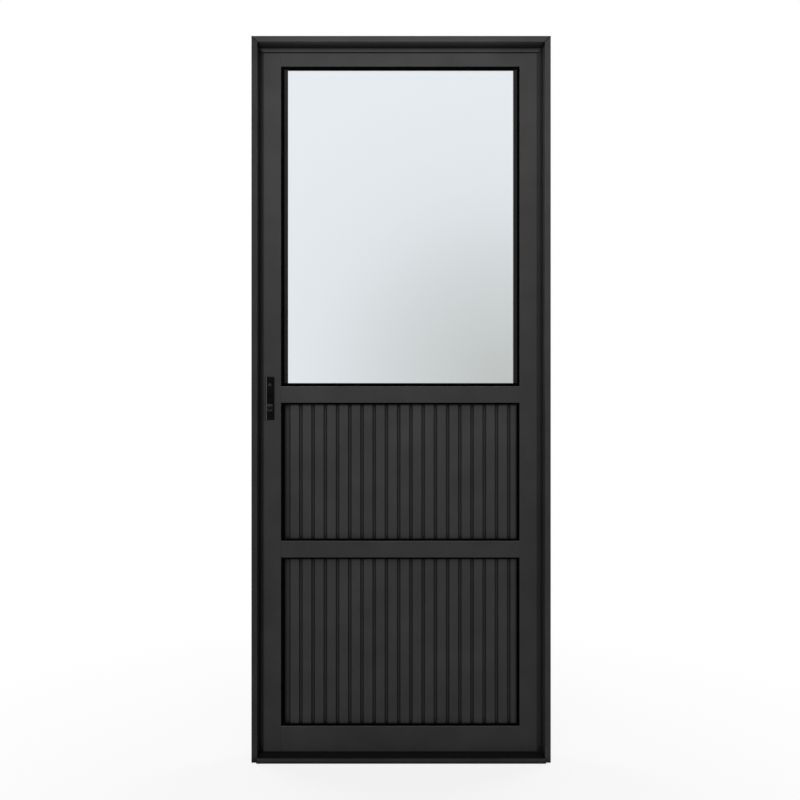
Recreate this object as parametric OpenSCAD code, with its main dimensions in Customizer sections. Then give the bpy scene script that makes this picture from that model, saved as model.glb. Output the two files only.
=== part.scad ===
// Aluminium entrance door: a leaf with a glass light over two slatted panels, hung in its own frame.
// Millimetres. The front faces -Y, +Z is up, and the origin lies under the middle of the sill.
// The leaf swings away from the front on three butt hinges at the back right edge.

/* [Frame] */
// Overall width over the front flanges
frame_w = 864; // [760:1:1200]
// Overall height from the sill underside to the top flange edge
frame_h = 2100; // [1950:1:2400]
// Visible width of the front flange
flange_w = 16.5; // [15:0.5:24]
// Overhang of the flange past the wall side of the jamb tube
flange_lip = 5; // [4:0.5:6]
// Depth of the return leg along the outer edge of the flange
flange_return = 8; // [6:0.5:14]
// Radius of the outer front edge of the flange
flange_r = 2.2; // [2.2:0.1:5]
// Wall of the frame profiles
frame_wall = 1.6; // [1.2:0.1:2]
// Depth of the reveal in front of the stop
reveal_d = 45; // [35:1:70]
// Width of the stop that the leaf closes against
stop_w = 11.5; // [9:0.5:16]
// Depth of the stop with its seal
stop_t = 6; // [5:0.5:9]
// Thickness of the stop's front fin
stop_fin_t = 2.2; // [1.6:0.1:2.6]
// Height of the sill block
sill_h = 16; // [14:0.5:24]
// Thickness of the sill plate under the leaf
sill_plate_t = 3; // [2:0.5:5]
// Length of sill plate that reaches under each jamb
sill_under = 2.5; // [1:0.5:4]
// Arm length of the cleats inside the top corners
cleat_arm = 60; // [40:1:120]
// Radius of the holes for fixing the jambs to the wall
fixing_r = 3.5; // [2.5:0.25:4.5]
// Height between the outer pair of fixing holes
fixing_outer = 1420; // [1200:5:1500]
// Height between the inner pair of fixing holes
fixing_inner = 700; // [400:5:760]

/* [Leaf] */
// Thickness of the leaf
leaf_t = 28; // [26:0.5:40]
// Gap between the leaf and each jamb
side_gap = 4.5; // [4:0.1:6]
// Gap between the leaf and the head
top_gap = 4; // [3:0.1:8]
// Gap between the leaf and the sill plate
bottom_gap = 4; // [3:0.1:8]
// Gap between the closed leaf and the seals
seal_gap = 0.4; // [0.3:0.1:1]
// Face width of the stiles
stile_w = 60; // [56:0.5:90]
// Height of the top rail
top_rail_h = 47.5; // [42:0.5:90]
// Height of the lock rail and of the lower middle rail
mid_rail_h = 48.5; // [42:0.5:80]
// Height of the bottom rail
bottom_rail_h = 84; // [60:1:160]
// Height of the middle of the lock rail
lock_rail_z = 1066.7; // [1030:0.1:1110]
// Height of the middle of the lower middle rail
lower_rail_z = 611.5; // [450:0.5:800]
// Wall of the stiles and rails
leaf_wall = 1.5; // [1.2:0.1:2]
// Radius of the long edges of the profiles
edge_r = 1.2; // [0.4:0.1:1.4]
// Thickness of the plastic caps on the stile ends
cap_t = 2; // [1.5:0.1:4]

/* [Glass] */
// Thickness of the glass
glass_t = 5; // [4:0.5:6]
// Gap between the glass edge and the profiles round it
glass_edge = 3; // [2:0.5:4]
// Face width of the two upright glazing beads
bead_w = 9.5; // [7:0.1:12]
// Fall of the bead's face towards the glass
bead_fall = 2; // [0.5:0.1:3]
// Wall of the glazing beads
bead_wall = 1.2; // [1:0.1:1.6]
// Width of the rear fin behind the glass at the stiles
glass_fin_side = 14; // [10:0.5:16]
// Width of the rear fin behind the glass at the rails
glass_fin_end = 6; // [5:0.5:7]
// Width of the black gaskets on the lock side
gasket_lock = 10.2; // [7:0.1:12]
// Width of the black gaskets on the hinge side
gasket_hinge = 7.4; // [6:0.1:12]
// Width of the black gasket above the glass
gasket_top = 7.6; // [6:0.1:10]
// Width of the black gasket below the glass
gasket_foot = 9.5; // [6:0.1:10]
// Width of the black gasket above and below the slats
gasket_panel = 5; // [4:0.1:8]
// Depth of the gasket face behind the leaf face
gasket_d = 5; // [3:0.1:5.5]

/* [Slats] */
// Width of the flat of one slat
slat_flat = 24.9; // [18:0.1:32]
// Width of the sloping side of a slat
slat_slope = 3; // [2:0.1:5]
// Width of the floor between two slats
slat_floor = 5.22; // [4:0.02:9]
// Depth of the slat face behind the leaf face
slat_d = 9.5; // [9:0.1:10]
// Depth of the floor below the slat face
slat_depth = 5; // [4:0.1:5.2]
// Thickness of the slat planks
slat_t = 1.2; // [1:0.1:1.3]
// Width of the rear fin behind the slats
slat_fin = 16; // [12:0.5:18]
// Width of the plain strip that the first plank starts from
starter_w = 21; // [12:0.5:24]
// Slats on one plank
plank_slats = 3; // [2:1:4]

/* [Hinges] */
// Height of a hinge
hinge_h = 90; // [70:5:120]
// Distance of the end hinges from the leaf ends
hinge_end = 220; // [150:5:260]
// Width of a hinge plate across the edge
hinge_reach = 24; // [20:0.5:26]
// Radius of the hinge knuckles
knuckle_r = 5.5; // [5:0.25:8]
// Radius of the hinge pins
pin_r = 3; // [2:0.25:3.5]
// Running clearance round the hinge pins
pin_fit = 0.05; // [0.02:0.01:0.1]

/* [Lock] */
// Height of the middle of the lock plate
lock_z = 1055; // [1040:1:1080]
// Distance from the leaf edge to the middle of the lock plate
lock_inset = 27.2; // [25:0.1:28]
// Width of the lock plate
plate_w = 26.4; // [25:0.2:32]
// Height of the lock plate
plate_h = 126; // [110:0.5:150]
// Height of the lock plate over the stile face
plate_t = 2.4; // [2:0.1:4]
// Bevel round the lock plate
plate_bevel = 1.4; // [0.6:0.1:1.8]
// Width of the finger recess
cup_w = 16.6; // [15:0.2:18]
// Height of the finger recess
cup_h = 50.3; // [46:0.1:56]
// Distance from the plate's middle down to the foot of the recess
cup_drop = 38.3; // [34:0.1:44]
// Depth of the recess floor behind the stile face
cup_d = 6; // [5:0.1:6.5]
// Wall of the recess
cup_wall = 1.2; // [1:0.1:1.5]
// Height of the thumb slider
slider_h = 20.6; // [18:0.2:22]
// Travel of the thumb slider and throw of the bolt
throw = 12; // [8:0.5:12]
// Arm length of the bell crank
crank_r = 14; // [12:0.5:15]
// Thickness of the bolt's head
bolt_t = 10; // [8:0.5:11]
// Height of the bolt
bolt_h = 18; // [14:0.5:20]
// Sliding clearance in the lock
slide_gap = 0.3; // [0.2:0.05:0.5]
// Spacing of the layers inside the lock
layer_gap = 0.4; // [0.3:0.05:0.6]

/* [Screws] */
// Radius of the screws
screw_r = 2; // [1.5:0.1:2.2]
// Radius of the screw heads
screw_head_r = 3.4; // [3:0.1:3.5]
// Height of the pan heads
screw_head_h = 2.4; // [1.8:0.1:3]
// Clearance round the screws
screw_fit = 0.1; // [0.05:0.05:0.2]
// Length of the screws into the rails and the sill
screw_l = 25; // [15:1:40]

/* [Hidden] */
$fn = 48;
eps = 0.5;
big = 4 * frame_w;

black = "#333332";
rubber = "#0c0c0c";
lock_black = "#161616";
steel = "#9a9a98";
nylon = "#202020";
clear = "#dbe6ea";

frame_depth = reveal_d + stop_t + seal_gap + leaf_t;
front_y = -frame_depth / 2;
back_y = frame_depth / 2;
reveal_x = frame_w / 2 - flange_w;
reveal_z = frame_h - flange_w;
tube_x = frame_w / 2 - flange_lip;
stop_z = reveal_z - stop_w;
seal_rise = 1;
cleat_side = reveal_d / 6;
sill_screw_v = [0.25, 0.72] * reveal_d;
sill_screw_z = (sill_plate_t + sill_h - frame_wall) / 2;

leaf_x = reveal_x - side_gap;
leaf_y = back_y - leaf_t;
leaf_z0 = sill_plate_t + bottom_gap;
leaf_z1 = reveal_z - top_gap;
sight_x = leaf_x - stile_w;

// Openings of the leaf, as the height of the lower and the upper edge
glass_z = [lock_rail_z + mid_rail_h / 2, leaf_z1 - top_rail_h];
upper_z = [lower_rail_z + mid_rail_h / 2, lock_rail_z - mid_rail_h / 2];
lower_z = [leaf_z0 + bottom_rail_h, lower_rail_z - mid_rail_h / 2];
leaf_openings = [glass_z, upper_z, lower_z];

// Glazing rebate: a rear fin behind the glass and the slats, and a front rib that holds the gasket
fin_t = 1.6;
glass_fins = [glass_fin_side, glass_fin_end];
slat_fins = [slat_fin, slat_fin];
opening_fins = [glass_fins, slat_fins, slat_fins];
bed_gap = 0.2;
joint_gap = 0.3;
slat_floor_d = slat_d + slat_depth;
fin_d = slat_floor_d + 2 * slat_t + joint_gap + bed_gap;
rib_w = 2.5;
rib_t = 1.2;
gasket_t = 1.2;
rib_d = gasket_d + gasket_t + bed_gap;
bead_rise = 0.5;
bead_d = gasket_d - bead_rise;
block_l = 80;
glass_back_d = fin_d - bed_gap;
glass_front_d = glass_back_d - glass_t;
glass_room = glass_z[1] - glass_z[0] - gasket_foot - gasket_top;

// Screw bosses inside the rails
boss_r = 4;
boss_inset = 3.6;
boss_d = leaf_t - leaf_wall - boss_inset;
boss_z = 14;
access_fit = 0.8;
access_r = screw_head_r + access_fit;

// Slats
slat_pitch = slat_flat + 2 * slat_slope + slat_floor;
plank_w = plank_slats * slat_pitch;
plank_edge = 3;
plank_end = 2;
panel_x = sight_x - plank_edge;
first_slat_x = -panel_x + starter_w + joint_gap + slat_slope;
plank_count = floor((panel_x - first_slat_x) / plank_w);
// Shift of the back corners of a folded sheet, from half the fold angle
slat_shift = slat_t * tan(atan2(slat_depth, slat_slope) / 2);

// Hinges
hinge_slack = 0.5;
hinge_plate_t = (side_gap - hinge_slack) / 2;
hinge_stand = 0.5;
axis_x = leaf_x + side_gap / 2;
axis_y = back_y + knuckle_r + hinge_stand;
hinge_z = [leaf_z0 + hinge_end, (leaf_z0 + leaf_z1) / 2, leaf_z1 - hinge_end];
hinge_names = ["bottom", "middle", "top"];
knuckle_gap = 0.6;
knuckle_l = hinge_h / 5;
knuckle_h = knuckle_l - knuckle_gap;
pin_head_h = 2;
pin_head_inset = 0.8;
pin_head_r = knuckle_r - pin_head_inset;
hinge_screw_z = [-0.37, -0.13, 0.13, 0.37] * hinge_h;
hinge_screw_step = 4;
hinge_screw_y = [for (s = [-1, 1, -1, 1]) back_y - hinge_reach / 2 + s * hinge_screw_step];
hinge_screw_l = 9;

// Lock
lock_x = -leaf_x + lock_inset;
cup_z0 = lock_z - cup_drop;
cup_z1 = cup_z0 + cup_h;
cup_floor_d = cup_d + cup_wall;
cup_out = cup_w / 2 + cup_wall;
arrow_w = 11;
arrow_h = 9.2;
arrow_arm = 2.2;
arrow_dip = 3.6;
arrow_t = 0.5;
arrow_z = lock_z + 0.29 * plate_h;
slider_w = cup_w - 2 * slide_gap;
slider_z0 = cup_z0 + slide_gap;
slider_rim = 2.2;
slider_brow = 3.2;
slider_dish = 1.3;
slider_sunk = 0.3;
slider_face_d = slider_sunk - plate_t;
lug_w = 8;
lug_reach = 1;
lug_t = 1.6;
stem_w = 6;
stem_h = 8;
stem_off = 4.3;
stem_up = 10;
stem_x = lock_x - stem_off;
stem_z = slider_z0 + stem_up;
tail_d = cup_floor_d + layer_gap;
tail_t = 4;
tail_w = 11.5;
// The tail keeps the stem's slot shut over the whole travel
tail_h = stem_h + 2 * (throw + slide_gap);
crank_d = tail_d + tail_t + layer_gap;
crank_t = 3;
crank_arm_r = 4;
crank_hub_r = 6;
crank_pin_r = 2;
crank_post_r = 3;
crank_x = stem_x + crank_r;
crank_z = stem_z + throw / 2;
crank_rest = -asin(throw / 2 / crank_r);
pin_slot = 2 * (crank_pin_r + slide_gap);
pin_rise = crank_r * (1 - cos(crank_rest)) + 2 * slide_gap;
bolt_tail_t = 4;
bolt_d1 = crank_d + crank_t + slide_gap + bolt_tail_t;
bolt_d = bolt_d1 - bolt_t / 2;
bolt_z = crank_z - crank_r;
bolt_head_l = 14;
bolt_pin_x = crank_x + throw / 2;
bolt_wrap = 5;
bolt_end_x = bolt_pin_x + bolt_wrap;
case_t = 1.5;
case_room = 6;
case_d = bolt_d1 + layer_gap;
case_x0 = -leaf_x + leaf_wall;
case_x1 = bolt_end_x + case_room;
case_z0 = bolt_z - bolt_h / 2 - slide_gap - case_t;
case_z1 = stem_z + tail_h / 2 + throw + case_t;
ear_z = 26;
ear_t = 10.3;
face_w = 16;
face_h = 44;
face_gap = 0.2;
face_screw_z = 17;

// Strike
strike_t = 1.5;
strike_w = 22;
strike_h = 70;
strike_gap = 2;
strike_lip = 0.3;
strike_screw_z = 26;
strike_y = leaf_y + bolt_d;
pocket_w = bolt_t + 2 * strike_gap;
pocket_h = bolt_h + 2 * strike_gap;

// Shared helpers

// Extrudes a section drawn as depth and height along X, from x0 to x1
module along_x(x0, x1, y, z) {
    translate([x0, y, z])
        rotate([90, 0, 90])
            linear_extrude(x1 - x0)
                children();
}

// Extrudes an outline drawn as X and Z through the depth, from y0 to y1
module through_y(y0, y1) {
    translate([0, y1, 0])
        rotate([90, 0, 0])
            linear_extrude(y1 - y0)
                children();
}

// Places a solid that points along +Z so that it points along -X
module facing_left(x, y, z) {
    translate([x, y, z])
        rotate([0, -90, 0])
            children();
}

// Rectangle with rounded corners, one corner at the origin
module rounded_rect(w, h, r) {
    translate([r, 0])
        square([w - 2 * r, h]);
    translate([0, r])
        square([w, h - 2 * r]);
    for (x = [r, w - r])
        for (y = [r, h - r])
            translate([x, y])
                circle(r);
}

module both_sides() {
    children();
    mirror([1, 0, 0])
        children();
}

// Countersunk screw along +Z, its flat head at the origin and its point below
module flat_screw(head_depth, len) {
    difference() {
        union() {
            translate([0, 0, -head_depth])
                cylinder(h = head_depth, r1 = screw_r, r2 = screw_head_r);
            translate([0, 0, -len])
                cylinder(h = len - head_depth + eps, r = screw_r);
        }
        screw_cross();
    }
}

// Hole for a countersunk screw along +Z, its rim at the origin
module flat_hole(head_depth) {
    translate([0, 0, -head_depth])
        cylinder(h = head_depth, r1 = screw_r + screw_fit, r2 = screw_head_r + screw_fit);
    translate([0, 0, -head_depth - eps])
        cylinder(h = 2 * eps + head_depth, r = screw_r + screw_fit);
}

// Pan-headed screw along +Z, the underside of its head at the origin and its point below
module pan_screw(len) {
    difference() {
        union() {
            cylinder(h = screw_head_h, r = screw_head_r);
            translate([0, 0, -len])
                cylinder(h = len + eps, r = screw_r);
        }
        translate([0, 0, screw_head_h])
            screw_cross();
    }
}

module screw_cross() {
    slot = screw_head_r;
    for (a = [0, 90])
        rotate(a)
            translate([-slot / 2, -slot / 8, -slot / 4])
                cube([slot, slot / 4, slot]);
}

// Frame profiles

// Section of the jambs and the head: u runs inwards from the outer edge, v runs back from the front
module frame_section() {
    difference() {
        union() {
            translate([flange_r, 0])
                square([flange_w - flange_r - edge_r, frame_wall]);
            translate([0, flange_r])
                square([frame_wall, flange_return - flange_r]);
            intersection() {
                translate([flange_r, flange_r])
                    circle(flange_r);
                square(flange_r);
            }
            translate([flange_lip, edge_r])
                square([flange_w - flange_lip, frame_depth - edge_r]);
            translate([flange_w - edge_r, edge_r])
                circle(edge_r);
            translate([flange_w - frame_wall, reveal_d])
                square([stop_w + frame_wall, stop_fin_t]);
            translate([flange_w + stop_w - frame_wall, reveal_d])
                square([frame_wall, stop_t - seal_rise]);
        }
        translate([flange_r, flange_r])
            circle(flange_r - frame_wall);
        translate([flange_lip + frame_wall, frame_wall])
            square([flange_w - flange_lip - 2 * frame_wall, reveal_d - frame_wall]);
        translate([flange_lip + frame_wall, reveal_d + frame_wall])
            square([flange_w - flange_lip - 2 * frame_wall, frame_depth - reveal_d - 2 * frame_wall]);
    }
}

// Half space on one side of the mitre through the top left corner
module mitre_side(below) {
    translate([-frame_w / 2, 0, frame_h])
        rotate([0, 45, 0])
            translate([-big / 2, -big / 2, below ? -big : 0])
                cube(big);
}

// Left jamb before its fittings: mitred at the head, with its stop cut off over the sill block
module jamb_body() {
    difference() {
        translate([-frame_w / 2, front_y, sill_plate_t])
            linear_extrude(frame_h - sill_plate_t)
                frame_section();
        mitre_side(false);
        translate([-reveal_x, front_y, 0])
            cube([2 * stop_w, frame_depth, sill_h]);
        for (s = [-1, 1])
            for (h = [fixing_inner, fixing_outer])
                facing_left(-reveal_x + eps, leaf_y + leaf_t / 2, frame_h / 2 + s * h / 2)
                    cylinder(h = flange_w, r = fixing_r);
        at_sill_screws() {
            translate([0, 0, -2 * frame_wall])
                cylinder(h = 3 * frame_wall, r = screw_r + screw_fit);
            cylinder(h = flange_w, r = access_r);
        }
    }
}

// The two screws at the left end of the sill, their heads against the inner wall of the jamb
module at_sill_screws() {
    for (v = sill_screw_v)
        facing_left(-reveal_x - frame_wall, front_y + v, sill_screw_z)
            children();
}

module left_jamb() {
    color(black)
        difference() {
            jamb_body();
            translate([-tube_x + frame_wall, strike_y - pocket_w / 2, bolt_z - pocket_h / 2])
                cube([flange_w, pocket_w, pocket_h]);
            at_strike_screws()
                translate([0, 0, -strike_t - 2 * frame_wall])
                    cylinder(h = strike_t + 2 * frame_wall, r = screw_r + screw_fit);
        }
}

module right_jamb() {
    color(black)
        difference() {
            mirror([1, 0, 0])
                jamb_body();
            at_hinge_screws(true)
                translate([0, 0, -hinge_plate_t - 2 * frame_wall])
                    cylinder(h = hinge_plate_t + 2 * frame_wall, r = screw_r + screw_fit);
        }
}

module head() {
    color(black)
        difference() {
            translate([-frame_w / 2, front_y, frame_h])
                rotate([0, 90, 0])
                    linear_extrude(frame_w)
                        frame_section();
            both_sides()
                mitre_side(true);
        }
}

module corner_cleats() {
    arm_t = flange_w - flange_lip - 2 * frame_wall - 2 * bed_gap;
    start = flange_lip + frame_wall + bed_gap;
    color(steel)
        both_sides()
            through_y(front_y + cleat_side, front_y + reveal_d - cleat_side)
                translate([-frame_w / 2 + start, frame_h - start])
                    mirror([0, 1])
                        union() {
                            square([cleat_arm, arm_t]);
                            square([arm_t, cleat_arm]);
                        }
}

// Section of the sill: depth from the front and height
module sill_section() {
    block_d = reveal_d + stop_fin_t;
    difference() {
        union() {
            difference() {
                union() {
                    square([frame_depth, sill_plate_t]);
                    square([block_d, sill_h - frame_wall]);
                    translate([frame_wall, sill_h - 2 * frame_wall])
                        square([reveal_d + stop_t - seal_rise - frame_wall, 2 * frame_wall]);
                    translate([frame_wall, sill_h - frame_wall])
                        circle(frame_wall);
                }
                translate([frame_wall, sill_plate_t])
                    square([block_d - 2 * frame_wall, sill_h - sill_plate_t - frame_wall]);
                translate([block_d, sill_plate_t])
                    square([stop_t, sill_h - sill_plate_t - frame_wall]);
            }
            for (v = sill_screw_v) {
                translate([v, sill_screw_z])
                    circle(boss_r);
                translate([v - frame_wall / 2, sill_plate_t - eps])
                    square([frame_wall, sill_screw_z - sill_plate_t]);
            }
        }
        for (v = sill_screw_v)
            translate([v, sill_screw_z])
                circle(screw_r + screw_fit);
    }
}

module sill() {
    color(black)
        union() {
            along_x(-reveal_x, reveal_x, front_y, 0)
                sill_section();
            translate([-reveal_x - sill_under, front_y, 0])
                cube([2 * (reveal_x + sill_under), frame_depth, sill_plate_t]);
        }
}

module sill_screws() {
    color(steel)
        both_sides()
            at_sill_screws()
                pan_screw(screw_l);
}

// Stop seal: a flat foot with a hollow bulb that the leaf closes on, drawn over the width of its groove
module seal_section(groove_w) {
    foot_t = 1.2;
    bulb_r = (stop_t - stop_fin_t - foot_t) / 2;
    side = 0.2;
    difference() {
        union() {
            translate([side, 0])
                square([groove_w - 2 * side, foot_t]);
            translate([groove_w / 2, foot_t + bulb_r])
                circle(bulb_r);
            translate([groove_w / 2 - bulb_r / 2, 0])
                square([bulb_r, foot_t + bulb_r]);
        }
        translate([groove_w / 2, foot_t + bulb_r])
            circle(bulb_r / 2);
    }
}

module jamb_seal() {
    color(rubber)
        translate([-reveal_x, front_y + reveal_d + stop_fin_t, sill_h])
            linear_extrude(stop_z - sill_h)
                seal_section(stop_w - frame_wall);
}

module left_stop_seal() {
    jamb_seal();
}

module right_stop_seal() {
    mirror([1, 0, 0])
        jamb_seal();
}

module head_stop_seal() {
    color(rubber)
        translate([-reveal_x, front_y + reveal_d + stop_fin_t, reveal_z])
            rotate([0, 90, 0])
                linear_extrude(2 * reveal_x)
                    seal_section(stop_w - frame_wall);
}

module sill_seal() {
    groove_w = sill_h - sill_plate_t - frame_wall;
    color(rubber)
        translate([-reveal_x, front_y + reveal_d + stop_fin_t, sill_plate_t + groove_w])
            rotate([0, 90, 0])
                linear_extrude(2 * reveal_x)
                    seal_section(groove_w);
}

// Strike

module at_strike_screws() {
    for (s = [-1, 1])
        translate([-reveal_x + strike_t, strike_y, bolt_z + s * strike_screw_z])
            rotate([0, 90, 0])
                children();
}

module strike_plate() {
    slot_w = pocket_w - 2 * strike_lip;
    slot_h = pocket_h - 2 * strike_lip;
    color(steel)
        difference() {
            translate([-reveal_x, strike_y - strike_w / 2, bolt_z - strike_h / 2])
                cube([strike_t, strike_w, strike_h]);
            translate([-reveal_x - eps, strike_y - slot_w / 2, bolt_z - slot_h / 2])
                cube([strike_t + 2 * eps, slot_w, slot_h]);
            at_strike_screws()
                flat_hole(strike_t);
        }
}

module strike_screws() {
    color(steel)
        at_strike_screws()
            flat_screw(strike_t, hinge_screw_l);
}

// Hinges

// Screw places on the hinges' frame plates or leaf plates, the head end pointing into the gap
module at_hinge_screws(on_frame) {
    face_x = on_frame ? reveal_x - hinge_plate_t : leaf_x + hinge_plate_t;
    for (zc = hinge_z)
        for (i = [0:len(hinge_screw_z) - 1])
            translate([face_x, hinge_screw_y[i], zc + hinge_screw_z[i]])
                rotate([0, on_frame ? -90 : 90, 0])
                    children();
}

// One half of a butt hinge: its plate in the gap, and the knuckles listed in turns
module hinge_half(zc, on_frame, turns) {
    plate_x = on_frame ? reveal_x - hinge_plate_t : leaf_x;
    z0 = zc - hinge_h / 2;
    color(steel)
        difference() {
            union() {
                translate([plate_x, back_y - hinge_reach, z0])
                    cube([hinge_plate_t, hinge_reach - hinge_stand / 2, hinge_h]);
                for (k = turns)
                    translate([0, 0, z0 + k * knuckle_l + knuckle_gap / 2]) {
                        translate([axis_x, axis_y, 0])
                            cylinder(h = knuckle_h, r = knuckle_r);
                        translate([plate_x, back_y - 2 * hinge_stand, 0])
                            cube([hinge_plate_t, axis_y - back_y + 2 * hinge_stand, knuckle_h]);
                    }
            }
            translate([axis_x, axis_y, z0 - eps])
                cylinder(h = hinge_h + 2 * eps, r = pin_r + pin_fit);
            at_hinge_screws(on_frame)
                flat_hole(hinge_plate_t);
        }
}

module hinge_frame_plate(i) {
    hinge_half(hinge_z[i], true, [0, 2, 4]);
}

module hinge_leaf_plate(i) {
    hinge_half(hinge_z[i], false, [1, 3]);
}

module hinge_pins() {
    reach = hinge_h - knuckle_gap;
    color(steel)
        for (zc = hinge_z)
            translate([axis_x, axis_y, zc - reach / 2]) {
                cylinder(h = reach, r = pin_r);
                for (z = [-pin_head_h, reach])
                    translate([0, 0, z])
                        cylinder(h = pin_head_h, r = pin_head_r);
            }
}

module hinge_frame_screws() {
    color(steel)
        at_hinge_screws(true)
            flat_screw(hinge_plate_t, hinge_screw_l);
}

module hinge_leaf_screws() {
    color(steel)
        at_hinge_screws(false)
            flat_screw(hinge_plate_t, hinge_screw_l);
}

// Leaf profiles

// Left stile: a tube with a rear fin and a gasket rib along each opening, drilled for the rail screws
module stile_body() {
    difference() {
        union() {
            translate([-leaf_x, leaf_y, leaf_z0 + cap_t])
                linear_extrude(leaf_z1 - leaf_z0 - 2 * cap_t)
                    difference() {
                        rounded_rect(stile_w, leaf_t, edge_r);
                        translate([leaf_wall, leaf_wall])
                            square([stile_w - 2 * leaf_wall, leaf_t - 2 * leaf_wall]);
                    }
            for (i = [0:len(leaf_openings) - 1]) {
                z0 = leaf_openings[i][0];
                h = leaf_openings[i][1] - z0;
                translate([-sight_x - leaf_wall, leaf_y + fin_d, z0])
                    cube([opening_fins[i][0] + leaf_wall, fin_t, h]);
                translate([-sight_x - leaf_wall, leaf_y + rib_d, z0])
                    cube([rib_w + leaf_wall, rib_t, h]);
            }
        }
        at_rail_screws() {
            translate([0, 0, -2 * leaf_wall])
                cylinder(h = 3 * leaf_wall, r = screw_r + screw_fit);
            translate([0, 0, stile_w / 2])
                cylinder(h = stile_w, r = access_r);
        }
    }
}

// Screws through the inner wall of the left stile into the rail ends
module at_rail_screws() {
    rails = [leaf_z1 - top_rail_h / 2, lock_rail_z, lower_rail_z, leaf_z0 + bottom_rail_h / 2];
    for (z = rails)
        for (s = [-1, 1])
            facing_left(-sight_x - leaf_wall, leaf_y + boss_d, z + s * boss_z)
                children();
}

module rail_screws() {
    color(steel)
        both_sides()
            at_rail_screws()
                pan_screw(screw_l);
}

module lock_stile() {
    color(black)
        difference() {
            stile_body();
            translate([lock_x - cup_out - bed_gap, leaf_y - eps, cup_z0 - cup_wall - bed_gap])
                cube([2 * (cup_out + bed_gap), leaf_wall + 2 * eps, cup_h + 2 * (cup_wall + bed_gap)]);
            translate([-leaf_x - eps, strike_y - face_w / 2 - face_gap, bolt_z - face_h / 2 - face_gap])
                cube([leaf_wall + 2 * eps, face_w + 2 * face_gap, face_h + 2 * face_gap]);
        }
}

module hinge_stile() {
    color(black)
        difference() {
            mirror([1, 0, 0])
                stile_body();
            at_hinge_screws(false)
                translate([0, 0, -hinge_plate_t - 2 * leaf_wall])
                    cylinder(h = hinge_plate_t + 2 * leaf_wall, r = screw_r + screw_fit);
        }
}

// Rail between the stiles: a tube with two screw bosses, and a rear fin and a gasket rib at each open edge.
// The fins below and above are given as their widths at the stiles and at the rail
module rail(z0, h, below, above) {
    color(black)
        union() {
            along_x(-sight_x, sight_x, leaf_y, z0)
                difference() {
                    union() {
                        difference() {
                            rounded_rect(leaf_t, h, edge_r);
                            translate([leaf_wall, leaf_wall])
                                square([leaf_t - 2 * leaf_wall, h - 2 * leaf_wall]);
                        }
                        for (s = [-1, 1])
                            translate([boss_d, h / 2 + s * boss_z])
                                circle(boss_r);
                    }
                    for (s = [-1, 1])
                        translate([boss_d, h / 2 + s * boss_z])
                            circle(screw_r + screw_fit);
                }
            if (len(below) > 0)
                rail_edge(z0 + leaf_wall, -1, below);
            if (len(above) > 0)
                rail_edge(z0 + h - leaf_wall, 1, above);
        }
}

// Fin and rib of a rail, starting inside its wall at height z and pointing up or down
module rail_edge(z, way, fins) {
    fin_x = sight_x - fins[0];
    rib_x = sight_x - rib_w;
    fin_h = fins[1] + leaf_wall;
    rib_h = rib_w + leaf_wall;
    translate([-fin_x, leaf_y + fin_d, way > 0 ? z : z - fin_h])
        cube([2 * fin_x, fin_t, fin_h]);
    translate([-rib_x, leaf_y + rib_d, way > 0 ? z : z - rib_h])
        cube([2 * rib_x, rib_t, rib_h]);
}

module top_rail() {
    rail(leaf_z1 - top_rail_h, top_rail_h, glass_fins, []);
}

module lock_rail() {
    rail(lock_rail_z - mid_rail_h / 2, mid_rail_h, slat_fins, glass_fins);
}

module lower_rail() {
    rail(lower_rail_z - mid_rail_h / 2, mid_rail_h, slat_fins, slat_fins);
}

module bottom_rail() {
    rail(leaf_z0, bottom_rail_h, [], slat_fins);
}

module stile_cap() {
    plug = leaf_wall + bed_gap;
    plug_h = 3;
    translate([joint_gap, joint_gap])
        linear_extrude(cap_t)
            rounded_rect(stile_w - 2 * joint_gap, leaf_t - 2 * joint_gap, edge_r);
    translate([plug, plug, 0])
        cube([stile_w - 2 * plug, leaf_t - 2 * plug, cap_t + plug_h]);
}

module stile_caps() {
    color(nylon)
        both_sides() {
            translate([-leaf_x, leaf_y, leaf_z0])
                stile_cap();
            translate([-leaf_x, leaf_y, leaf_z1])
                mirror([0, 0, 1])
                    stile_cap();
        }
}

// Glass light

module glass_pane() {
    edge = glass_edge;
    color(clear, 0.45)
        translate([-sight_x + edge, leaf_y + glass_front_d, glass_z[0] + edge])
            cube([2 * (sight_x - edge), glass_t, glass_z[1] - glass_z[0] - 2 * edge]);
}

// Two plastic blocks that carry the glass on the lock rail
module setting_blocks() {
    color(nylon)
        for (s = [-1, 1])
            translate([s * sight_x / 2 - block_l / 2, leaf_y + glass_front_d, glass_z[0]])
                cube([block_l, glass_t, glass_edge]);
}

// Upright bead beside a gasket: a hollow nose against the glass and a foot that hooks behind the stile's rib
module glazing_bead(gasket_w) {
    back_d = glass_front_d - joint_gap;
    hook_d = rib_d + rib_t + bed_gap;
    side = gasket_w + bed_gap;
    fall = bead_fall / bead_w;
    roof = bead_wall * sqrt(1 + fall * fall);
    color(black)
        translate([-sight_x, leaf_y, glass_z[0] + gasket_foot + bed_gap])
            linear_extrude(glass_room - 2 * bed_gap)
                difference() {
                    union() {
                        polygon([
                            [side, back_d],
                            [side, bead_d],
                            [side + bead_w, bead_d + bead_fall],
                            [side + bead_w, back_d]
                        ]);
                        translate([bed_gap, back_d - bead_wall])
                            square([side, bead_wall]);
                        translate([bed_gap, hook_d])
                            square([bead_wall, back_d - hook_d]);
                    }
                    polygon([
                        [side + bead_wall, back_d - bead_wall],
                        [side + bead_wall, bead_d + roof + fall * bead_wall],
                        [side + bead_w - bead_wall, bead_d + roof + fall * (bead_w - bead_wall)],
                        [side + bead_w - bead_wall, back_d - bead_wall]
                    ]);
                }
}

module left_glazing_bead() {
    glazing_bead(gasket_lock);
}

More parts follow.
